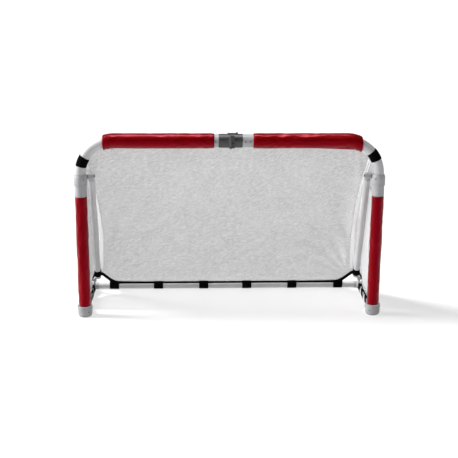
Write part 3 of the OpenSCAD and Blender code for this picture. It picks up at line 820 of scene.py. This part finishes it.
def solids(node):
    """Centre and size of each separate solid of a CAD node, by its connected faces."""
    mesh = nodes[node].data
    co = np.array([v.co for v in mesh.vertices], float)
    key = {}
    ident = [key.setdefault(tuple(np.round(c, 6)), len(key)) for c in co]
    parent = list(range(len(key)))

    def root(i):
        while parent[i] != i:
            parent[i] = parent[parent[i]]
            i = parent[i]
        return i

    for p in mesh.polygons:
        first = root(ident[p.vertices[0]])
        for v in p.vertices[1:]:
            parent[root(ident[v])] = first
    groups = {}
    for i, c in enumerate(co):
        groups.setdefault(root(ident[i]), []).append(c)
    boxes = [(np.min(g, 0), np.max(g, 0)) for g in groups.values()]
    parts = [((low + high) / 2, high - low) for low, high in boxes]
    return sorted(parts, key=lambda part: (abs(round(part[0][0], 3)), round(part[0][1], 3)))


def straight_frame(centre, axis, n, b):
    centre, axis, n, b = (np.array(q, float) for q in (centre, axis, n, b))
    return lambda w: (centre + axis * w, n, b)


for word, side in SIDES.items():
    loops = []
    # Rear bar straps, over the hem: the bulge points forwards and up
    for k, (centre, size) in enumerate(solids(f"rear_straps_{word}")):
        shape = straight_frame((centre[0], REAR_Y, BASE_Z), (1, 0, 0), (0, -1, 0), (0, 0, 1))
        loop = strap_loop(f"rear_strap_{word}_{k + 1}", shape, size[0], BASE_R + 0.0005,
                          math.radians(118 + 7 * k), bulge=(math.radians(62), 0.0375))
        loops.append((loop, f"{word}_base"))
    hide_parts(f"rear_straps_{word}")
    for k, (centre, size) in enumerate(solids(f"side_straps_{word}")):
        shape = straight_frame((side * POST_X, centre[1], BASE_Z), (0, 1, 0), (-side, 0, 0), (0, 0, 1))
        bulge = (math.radians(62), 0.0400) if k < 2 else (math.radians(70), 0.0290)
        loop = strap_loop(f"side_strap_{word}_{k + 1}", shape, size[1], BASE_R + 0.0005,
                          math.radians(112 + 9 * k), bulge=bulge)
        loops.append((loop, f"{word}_base"))
    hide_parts(f"side_straps_{word}")

    # The strap on the bend follows the tube's curve
    def on_bend(w, mid_angle=strap_angle(word), side=side):
        a = mid_angle + w / BEND_R
        n = np.array([side * math.cos(a), 0, math.sin(a)])
        return np.array([side * BEND_X, FRONT_Y, BEND_Z]) + BEND_R * n, n, np.array([0.0, -1.0, 0.0])

    loop = strap_loop(f"bend_strap_loop_{word}", on_bend, STRAP_W, TUBE_R + 0.0006, math.radians(215),
                      bulge=(math.radians(250), 0.0375), across_steps=13)
    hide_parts(f"bend_strap_{word}")
    loops.append((loop, f"{word}_frame"))
    # The strap at the strut's lower end
    top = place(STRUT_TOP, side)
    foot = place(STRUT_EYE, side)
    axis = (foot - top) / np.linalg.norm(foot - top)
    n = np.cross(axis, [side * 1.0, 0, 0])
    n /= np.linalg.norm(n)
    b = np.cross(axis, n)
    reach = np.linalg.norm(foot - top)
    centre = top + axis * (reach - STRUT_STRAP_UP)
    loop = strap_loop(f"strut_strap_loop_{word}", straight_frame(centre, axis, n, b), STRUT_STRAP_W,
                      BASE_R + 0.0003, math.radians(40))
    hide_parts(f"strut_strap_{word}")
    loops.append((loop, f"{word}_strut"))
    for loop, body in loops:
        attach(loop, body)


# Floor and light

def set_stage():
    mesh = bpy.data.meshes.new("floor")
    mesh.from_pydata([(-400, -400, 0), (400, -400, 0), (400, 400, 0), (-400, 400, 0)], [], [(0, 1, 2, 3)])
    floor = bpy.data.objects.new("floor", mesh)
    mesh.materials.append(studio_floor())
    scene.collection.objects.link(floor)
    # A dim sky with a white band along the horizon, so that low views keep a white background
    world = bpy.data.worlds.new("studio")
    world.use_nodes = True
    tree = world.node_tree
    coords = tree.nodes.new("ShaderNodeTexCoord")
    split = tree.nodes.new("ShaderNodeSeparateXYZ")
    band = tree.nodes.new("ShaderNodeMapRange")
    for key, value in {"From Min": 0.05, "From Max": 0.09, "To Min": 1.0, "To Max": 0.07}.items():
        band.inputs[key].default_value = value
    tree.links.new(coords.outputs["Generated"], split.inputs[0])
    tree.links.new(split.outputs["Z"], band.inputs["Value"])
    tree.links.new(band.outputs[0], tree.nodes["Background"].inputs["Color"])
    scene.world = world
    # The key comes from the upper left, behind the goal. The others only lift the tops and the left sides
    for name, toward, angle, strength, shadow in (("key", (1.0, -0.12, -1.05), 15, 2.9, True),
                                                  ("above", (0.05, -0.15, -1.0), 24, 2.1, False),
                                                  ("side", (1.0, 0.0, -0.30), 20, 2.9, False)):
        lamp = bpy.data.lights.new(name, "SUN")
        lamp.angle = math.radians(angle)
        lamp.energy = strength
        lamp.use_shadow = shadow
        obj = bpy.data.objects.new(name, lamp)
        obj.location = (0, 0, 4)
        obj.rotation_euler = Vector(toward).to_track_quat("-Z", "Y").to_euler()
        scene.collection.objects.link(obj)


set_stage()
